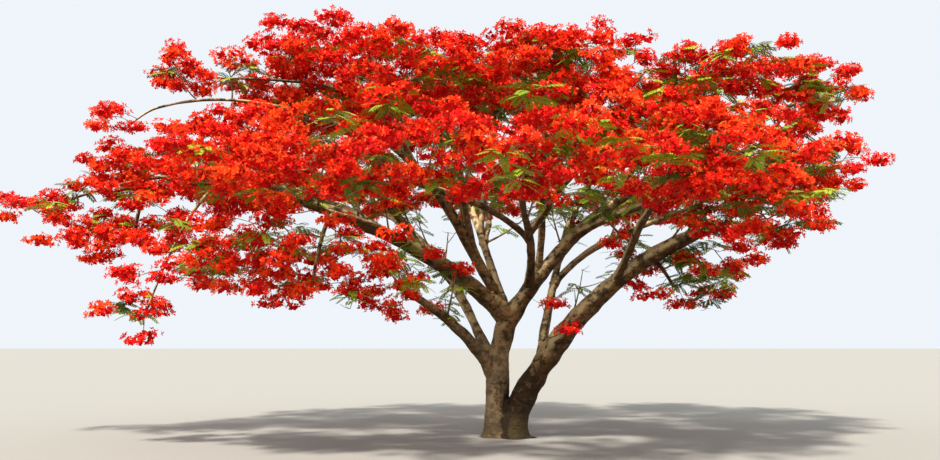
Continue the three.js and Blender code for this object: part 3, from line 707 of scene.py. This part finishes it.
def grow(mass, index):
    """Joins the places of a mass to its stem. Gives each twig's knots and the twig it leaves."""
    waiting = list(places_in(mass, index))
    stem_steps = np.diff(bend_at(mass.knots, STEM_CHECKS), axis=0)
    stem_length = np.linalg.norm(stem_steps, axis=1).sum()
    forks = [(bend_at(mass.knots, t)[0], t * stem_length, -1) for t in STEM_FORKS]
    twigs = []
    while waiting:
        points = np.array([fork[0] for fork in forks])
        paths = np.array([fork[1] for fork in forks])
        gaps = np.linalg.norm(np.array(waiting)[:, None] - points[None], axis=2)
        cost = gaps + PATH_SHARE * paths
        k, f = np.unravel_index(cost.argmin(), cost.shape)
        place = waiting.pop(k)
        start, path, parent = forks[f]
        chord = place - start
        length = np.linalg.norm(chord)
        bow = rng.normal(0, TWIG_WAVER, 3) * length + TWIG_ARCH * length * UP
        knots = np.array([start, start + 0.5 * chord + bow, place])
        twigs.append((knots, parent))
        for t in TWIG_FORKS:
            forks.append((bend_at(knots, t)[0], path + t * length, len(twigs) - 1))
    return twigs


# The twigs: round and tapering, as thick as the tips that they carry ask for. A mass's stem runs
# on from its bough's tip as thick as the bough and thins out along its run. On a bough's side it
# starts thinner.
TWIG_DARK = (0.075, 0.046, 0.024)
TWIG_LIGHT = (0.34, 0.24, 0.135)
TWIG_TIP = 0.0055
TWIG_FOOT = 1.15 * TWIG_TIP
TWIG_SIDES = 4
TWIG_STEPS = 4
STEM_SIDES = 12
STEM_STEPS = 12
SIDE_STEM = 0.045
twig_paint = Paint("twig_bark", TWIG_LIGHT, roughness=0.85)
twig_grain = twig_paint.step(twig_paint.noise(scale=14.0, detail=4.0), 0.35, 0.65)
twig_paint.feed("Base Color", twig_paint.mix(twig_grain, TWIG_DARK, TWIG_LIGHT))


def twig_meshes(knots, feet, tips, sides, steps):
    """Many tapering tubes at once: knots (n, 3, 3) and radii at both ends give points and faces."""
    t = np.linspace(0, 1, steps + 1)
    centres = np.einsum("sk,nkd->nsd", bend_shares(t), knots)
    along = unit(np.gradient(centres, axis=1))
    never_zero = 1e-6
    across = unit(np.cross(along, UP) + never_zero)
    over = np.cross(across, along)
    turns = (np.arange(sides) * 2 * np.pi / sides)[:, None]
    round_ = np.cos(turns) * across[:, :, None] + np.sin(turns) * over[:, :, None]
    radii = feet[:, None] + (tips - feet)[:, None] * t
    points = (centres[:, :, None] + radii[..., None, None] * round_).reshape(-1, 3)
    k = np.arange(steps * sides)
    nxt = k - k % sides + (k + 1) % sides
    quads = np.stack([k, k + sides, nxt + sides, nxt], axis=-1)
    offsets = np.arange(len(knots))[:, None, None] * (steps + 1) * sides
    return points, (quads[None] + offsets).reshape(-1, 4)


twig_knots, twig_feet, twig_tips = [], [], []
stem_knots, stem_feet, stem_tips = [], [], []
sprays = []
for index, mass in enumerate(masses):
    twigs = grow(mass, index)
    carried = np.ones(len(twigs))
    for k in reversed(range(len(twigs))):
        parent = twigs[k][1]
        if parent >= 0:
            carried[parent] += carried[k]
    for (knots, _), count in zip(twigs, carried):
        twig_knots.append(knots)
        twig_feet.append(TWIG_FOOT * math.sqrt(count))
        twig_tips.append(TWIG_TIP)
        sprays.append((mass.name, knots))
    stem_knots.append(mass.knots)
    bough_radius = mass.bough.radius(mass.share)
    stem_feet.append(bough_radius if mass.share == 1 else min(bough_radius, SIDE_STEM))
    stem_tips.append(TWIG_TIP * math.sqrt(len(twigs)))

# The shoots: thin side limbs that leave the boughs inside the crown, each with two twigs on it.
# They are bare, or end in a few leaves, or bloom, and the sky shows between them.
SHOOTS_BETWEEN = (0.40, 0.95)
SHOOT_SPACING = 0.60
SHOOT_LENGTHS = (0.55, 1.25)
SHOOT_FOOT = 0.024
SHOOT_FOOT_SHARE = 0.6
SHOOT_TIP = 0.009
SHOOT_FORKS = (0.45, 0.72)
SHOOT_ALONG = 0.6
SHOOT_ASIDE = 0.7
ASIDE_WAVER = 0.4
SHOOT_UP = (0.3, 1.1)
SHOOT_LIFT = 0.35
SHOOT_WAVER = 0.12
SHOOT_TWIG_SHARE = (0.3, 0.6)
SHOOT_TWIG_FOOT = 1.2 * SHOOT_TIP
SHOOT_TWIG_AHEAD = 0.7
SHOOT_TWIG_UP = 0.2
SHOOT_TWIG_WAVER = 0.3
SHOOT_TWIG_SAG = 0.1
shoot_rng = np.random.default_rng(23)
for name in BOUGHS:
    limb = limbs[name]
    for t in np.arange(*SHOOTS_BETWEEN, SHOOT_SPACING / limb.length):
        start = limb.at(t)[0]
        aside = shoot_rng.choice([-1, 1]) * limb.side + shoot_rng.normal(0, ASIDE_WAVER, 3)
        lead = SHOOT_ALONG * limb.towards(t)[0] + SHOOT_ASIDE * aside
        lead = unit(lead + shoot_rng.uniform(*SHOOT_UP) * UP)
        length = shoot_rng.uniform(*SHOOT_LENGTHS)
        lifted = unit(lead + SHOOT_LIFT * UP + shoot_rng.normal(0, SHOOT_WAVER, 3))
        end = start + length * lifted
        shoot = np.array([start, start + 0.5 * length * lead, end])
        twig_knots.append(shoot)
        twig_feet.append(min(SHOOT_FOOT, SHOOT_FOOT_SHARE * limb.radius(t)))
        twig_tips.append(SHOOT_TIP)
        sprays.append(("shoot", shoot))
        for order, share in enumerate(SHOOT_FORKS):
            fork = bend_at(shoot, share)[0]
            across = np.cross(lead, UP) * (1 if order else -1)
            waver = shoot_rng.normal(0, SHOOT_TWIG_WAVER, 3)
            out = unit(SHOOT_TWIG_AHEAD * lead + across + waver + SHOOT_TWIG_UP * UP)
            side_length = length * shoot_rng.uniform(*SHOOT_TWIG_SHARE)
            sagged = fork + side_length * (0.5 * out - SHOOT_TWIG_SAG * UP)
            twig = np.array([fork, sagged, fork + side_length * out])
            twig_knots.append(twig)
            twig_feet.append(SHOOT_TWIG_FOOT)
            twig_tips.append(TWIG_TIP)
            sprays.append(("shoot", twig))

# The twiglets: the last and thinnest twigs, of the same bark. Three leave the end of each twig, and
# where it blooms, each lifts a corymb of flowers.
TWIGLET_TURNS = (-62, 0, 62)
TWIGLET_SPREAD = 22
TWIGLET_RUNS = (0.10, 0.21)
TWIGLET_LIFTS = (-0.05, 0.09)
TWIGLET_SAG = 0.03
TWIGLET_TIP = 0.003
TWIGLET_SIDES = 3
TWIGLET_STEPS = 2
spray_knots = np.array([knots for _, knots in sprays])
spray_ends = spray_knots[:, 2]
owner = np.repeat(np.arange(len(sprays)), len(TWIGLET_TURNS))
lead = unit(spray_ends - spray_knots[:, 1])[owner]
headings = np.degrees(np.arctan2(lead[:, 1], lead[:, 0])) + np.tile(TWIGLET_TURNS, len(sprays))
headings += rng.normal(0, TWIGLET_SPREAD, len(owner))
run = rng.uniform(*TWIGLET_RUNS, len(owner))[:, None]
lift = rng.uniform(*TWIGLET_LIFTS, len(owner))[:, None]
corymb_at = spray_ends[owner] + run * direction(headings, 0) + lift * UP
middle_of = 0.5 * (spray_ends[owner] + corymb_at) - TWIGLET_SAG * UP
twiglet_knots = np.stack([spray_ends[owner], middle_of, corymb_at], axis=1)
twiglet_feet = np.full(len(owner), TWIG_TIP)
twiglet_tips = np.full(len(owner), TWIGLET_TIP)

groups = {
    "stems": (stem_knots, stem_feet, stem_tips, STEM_SIDES, STEM_STEPS, bark),
    "twigs": (twig_knots, twig_feet, twig_tips, TWIG_SIDES, TWIG_STEPS, twig_paint),
    "twiglets": (
        twiglet_knots, twiglet_feet, twiglet_tips, TWIGLET_SIDES, TWIGLET_STEPS, twig_paint
    ),
}
for name, (knots, feet, tips, sides, steps, paint) in groups.items():
    points, quads = twig_meshes(np.array(knots), np.array(feet), np.array(tips), sides, steps)
    twig_piece = mesh_piece(name, points, [quads], paint.material, True)
    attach(twig_piece, "root")
    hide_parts(*MASSES)

# The blossom: each flower has four spreading petals on narrow claws and a fifth, paler one that
# stands up. A corymb is a flat dome of them, round a heart of broader petals and calyces, as each
# stands for several, whose darker red is painted shade inside the dome. Each tint is one base
# colour, dealt out by spray. A petal is four points in two faces: its foot, a side, its tip and the
# other side.
BLOSSOM_TINTS = {
    "scarlet": ((0.90, 0.022, 0.006), 0.28),
    "vermilion": ((0.92, 0.040, 0.007), 0.18),
    "flame": ((0.94, 0.066, 0.008), 0.20),
    "crimson": ((0.80, 0.011, 0.009), 0.20),
    "deep_red": ((0.62, 0.008, 0.009), 0.12),
}
STANDARD_TINT = (0.92, 0.13, 0.030)
# The hearts' darker red is painted shade inside the corymb.
HEART_SHADE_TINT = (0.62, 0.009, 0.007)
FLOWERS = 17
HEARTS = 12
CORYMB_WIDTH = 0.180
CORYMB_DOME = 0.66
CORYMB_RISES = (-0.45, 1.0)
CORYMB_HOLLOW = 0.30
FLOWER_LIFTED = 0.45
FLOWER_WAVER = 0.28
FLOWER_SIZES = (0.050, 0.068)
HEART_REACH = 0.58 * CORYMB_WIDTH
HEART_DOME = np.array([1, 1, 0.5])
HEART_SIZES = (0.085, 0.125)
PLATE_SHARE = (0.19, 0.42)
PLATE_SHARE_OVER = 6.0
MORE_ON_LEAFY = 0.3
PLATES_THAT_BLOOM = 0.45
SHOOT_PLATES = 0.55
SHOOT_BLOOMS = 0.20
SPREADING = [(4, 14), (76, 22), (146, 12), (217, 24)]
STANDING = [(288, 50)]
PETAL_OUTLINE = np.array([[0, 0, 0], [0.66, -0.26, 0.13], [1.0, 0, 0.03], [0.66, 0.26, 0.13]])
HEART_OUTLINE = np.array([[-0.5, 0, 0], [0.08, -0.34, 0.10], [0.5, 0, 0], [0.08, 0.34, 0.10]])
TWO_FACES = np.array([[0, 1, 2], [0, 2, 3]])
STEEP = 0.9


def flower(petals):
    """Petals turned round the flower's middle, each rising by its own angle."""
    points, faces = [], []
    for order, (turn, rise) in enumerate(petals):
        c, s = math.cos(math.radians(turn)), math.sin(math.radians(turn))
        cr, sr = math.cos(math.radians(rise)), math.sin(math.radians(rise))
        tipped = PETAL_OUTLINE @ np.array([[cr, 0, sr], [0, 1, 0], [-sr, 0, cr]])
        points.append(tipped @ np.array([[c, s, 0], [-s, c, 0], [0, 0, 1]]))
        faces.append(TWO_FACES + len(PETAL_OUTLINE) * order)
    return np.vstack(points), np.vstack(faces)


def frames(outwards, spin):
    """Turning matrices (n, 3, 3) that take +Z to outwards, spun about it."""
    steep = np.abs(outwards[:, 2:]) >= STEEP
    helper = np.where(steep, np.array([1.0, 0.0, 0.0]), UP)
    first = unit(np.cross(helper, outwards))
    second = np.cross(outwards, first)
    c, s = np.cos(spin)[:, None], np.sin(spin)[:, None]
    return np.stack([c * first + s * second, c * second - s * first, outwards], axis=1)


def scatter(shape, faces, at, turning, sizes):
    """Copies of a small shape at many places, as one array of points and one of faces."""
    points = at[:, None] + sizes[:, None, None] * (shape[None] @ turning)
    offsets = np.arange(len(at))[:, None, None] * len(shape)
    return points.reshape(-1, 3), (faces[None] + offsets).reshape(-1, faces.shape[1])


def dealt_out(tints):
    """The number of a tint for every spray, drawn by the tints' shares."""
    shares = np.array([share for _, share in tints.values()])
    return rng.choice(len(tints), len(sprays), p=shares / shares.sum())


# Which sprays carry a plate of leaves, more of them towards the right, and which ones bloom
is_leafy = np.array([name.startswith("leaf") for name, _ in sprays])
is_shoot = np.array([name == "shoot" for name, _ in sprays])
to_the_right = np.clip(spray_ends[:, 0] / PLATE_SHARE_OVER + 0.5, 0, 1)
plate_share = PLATE_SHARE[0] + (PLATE_SHARE[1] - PLATE_SHARE[0]) * to_the_right
plate_share = np.where(is_shoot, SHOOT_PLATES, plate_share + MORE_ON_LEAFY * is_leafy)
has_plate = rng.random(len(sprays)) < plate_share
chance = rng.random(len(sprays))
blooms = np.where(is_shoot, chance < SHOOT_BLOOMS, ~has_plate | (chance < PLATES_THAT_BLOOM))
corymbs = corymb_at[blooms[owner]]
corymb_tint = dealt_out(BLOSSOM_TINTS)[owner[blooms[owner]]]

# The flowers over each dome, and the hearts inside it
flower_owner = np.repeat(np.arange(len(corymbs)), FLOWERS)
count = len(flower_owner)
turn = rng.uniform(0, 2 * np.pi, count)
rise = rng.uniform(*CORYMB_RISES, count)
flat = np.sqrt(1 - rise**2)
dome = np.stack([flat * np.cos(turn), flat * np.sin(turn), CORYMB_DOME * rise], axis=1)
spread = CORYMB_WIDTH * np.cbrt(rng.uniform(CORYMB_HOLLOW, 1.0, count))
flower_at = corymbs[flower_owner] + spread[:, None] * dome
outwards = unit(dome + FLOWER_LIFTED * UP + rng.normal(0, FLOWER_WAVER, (count, 3)))
turning = frames(outwards, rng.uniform(0, 2 * np.pi, count))
sizes = rng.uniform(*FLOWER_SIZES, count)
flower_tint = corymb_tint[flower_owner]

heart_owner = np.repeat(np.arange(len(corymbs)), HEARTS)
count = len(heart_owner)
inner = unit(rng.normal(size=(count, 3))) * HEART_DOME
heart_at = corymbs[heart_owner] + HEART_REACH * np.cbrt(rng.random((count, 1))) * inner
heart_turning = frames(unit(rng.normal(size=(count, 3))), rng.uniform(0, 2 * np.pi, count))
heart_sizes = rng.uniform(*HEART_SIZES, count)

# Each tint's petals are one piece: thin and soft, with hardly any gloss
blossom_pieces = {}
for order, (name, (color, _)) in enumerate(BLOSSOM_TINTS.items()):
    chosen = flower_tint == order
    petals = scatter(*flower(SPREADING), flower_at[chosen], turning[chosen], sizes[chosen])
    blossom_pieces[name] = (color, petals)
standards = scatter(*flower(STANDING), flower_at, turning, sizes)
blossom_pieces["standards"] = (STANDARD_TINT, standards)
hearts = scatter(HEART_OUTLINE, TWO_FACES, heart_at, heart_turning, heart_sizes)
blossom_pieces["hearts"] = (HEART_SHADE_TINT, hearts)
for name, (color, (points, faces)) in blossom_pieces.items():
    paint = Paint("petals_" + name, color, roughness=0.75, gloss=0.06)
    paint.feed("Roughness", 0.60 + 0.35 * paint.noise(scale=24.0, detail=3.0))
    petals = mesh_piece("blossom_" + name, points, [faces], paint.material, False)
    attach(petals, "root")
    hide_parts(*MASSES)

# The leaves: twice-feathered fronds, each a midrib with pairs of narrow side blades. They leave the
# last stretch of a twig one after another and lie as a flat plate between the tiers of blossom.
# Each green is one base colour, dealt out by spray.
LEAF_TINTS = {
    "fresh": ((0.30, 0.38, 0.026), 0.50),
    "green": ((0.19, 0.27, 0.018), 0.34),
    "dark": ((0.080, 0.135, 0.013), 0.16),
}
PAIRS = 8
BLADES_FROM = 0.14
BLADES_TO = 0.96
BLADE_REACH = 0.235
BLADE_LEAST = 0.03
BLADE_WAVE = (0.18, 0.74)
BLADE_HALF = 0.054
BLADE_WIDEST_AT = 0.45
BLADE_LEAN = 66
BLADE_LEAN_FALL = 24
BLADE_DROOP = 0.7
RIB_HALF = (0.008, 0.003)
LEAF_DROOP = 0.44
PLATE_LEAVES = 14
SHOOT_LEAVES = 8
LONE_LEAF_SHARE = 0.12
LEAF_SIZES = (0.25, 0.37)
LEAF_STRETCH = 0.65
LEAF_SCATTER = 0.02
LEAF_LIFT = 0.09
LEAF_TURN = 137.5
TURN_SPREAD = 10
LEAF_RISE = 14
RISE_SPREAD = 9
ROLL_SPREAD = 12


def frond():
    """A frond of length one along +X. Its blades are longest in the middle and lean forward.

    The blades' reach follows the top of a sine wave along the frond. Each blade sags by the square
    of its run, and so does the frond.
    """
    x = np.linspace(BLADES_FROM, BLADES_TO, PAIRS)
    wave = np.sin(np.pi * (BLADE_WAVE[0] + BLADE_WAVE[1] * (x - BLADES_FROM)))
    reach = (BLADE_REACH * wave + BLADE_LEAST)[:, None]
    lean = np.radians(BLADE_LEAN - BLADE_LEAN_FALL * x)[:, None]
    out = reach * np.array([[0, BLADE_WIDEST_AT, 1, BLADE_WIDEST_AT]])
    wide = BLADE_HALF * np.array([[0, 1, 0, -1]])
    ahead = x[:, None] + out * np.cos(lean) - wide * np.sin(lean)
    aside = out * np.sin(lean) + wide * np.cos(lean)
    right = np.stack([ahead, aside, -BLADE_DROOP * out**2], axis=-1).reshape(-1, 3)
    foot, tip = RIB_HALF
    rib = np.array([[0, -foot, 0], [0, foot, 0], [1.0, tip, 0], [1.0, -tip, 0]])
    points = np.vstack([right, right * np.array([1, -1, 1]), rib])
    points[:, 2] -= LEAF_DROOP * points[:, 0] ** 2
    quads = np.arange(0, len(points), 4)[:, None, None]
    return points, (quads + TWO_FACES).reshape(-1, 3)


lone_leaf = rng.random(len(sprays)) < LONE_LEAF_SHARE
plate_leaves = np.where(is_shoot, SHOOT_LEAVES, PLATE_LEAVES)
leaf_owner = np.repeat(np.arange(len(sprays)), np.where(has_plate, plate_leaves, lone_leaf))
count = len(leaf_owner)
turned = rng.uniform(0, 360, len(sprays))[leaf_owner] + LEAF_TURN * np.arange(count)
turned += rng.normal(0, TURN_SPREAD, count)
along = direction(turned, rng.normal(LEAF_RISE, RISE_SPREAD, count))
level = unit(np.cross(UP, along))
over = np.cross(along, level)
roll = np.radians(rng.normal(0, ROLL_SPREAD, count))[:, None]
rolled = np.cos(roll) * level + np.sin(roll) * over
leaf_turning = np.stack([along, rolled, np.cos(roll) * over - np.sin(roll) * level], axis=1)
t = 1 - LEAF_STRETCH * rng.random(count)
leaf_at = np.einsum("ns,nsd->nd", bend_shares(t), spray_knots[leaf_owner])
leaf_at += rng.normal(0, LEAF_SCATTER, (count, 3)) + LEAF_LIFT * UP
leaf_sizes = rng.uniform(*LEAF_SIZES, count)
leaf_tint = dealt_out(LEAF_TINTS)[leaf_owner]
for order, (name, (color, _)) in enumerate(LEAF_TINTS.items()):
    chosen = leaf_tint == order
    paint = Paint("leaf_" + name, color, roughness=0.6, gloss=0.1)
    paint.feed("Roughness", 0.45 + 0.35 * paint.noise(scale=18.0, detail=3.0))
    points, faces = scatter(*frond(), leaf_at[chosen], leaf_turning[chosen], leaf_sizes[chosen])
    fronds = mesh_piece("leaves_" + name, points, [faces], paint.material, False)
    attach(fronds, "root")
    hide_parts(*MASSES)
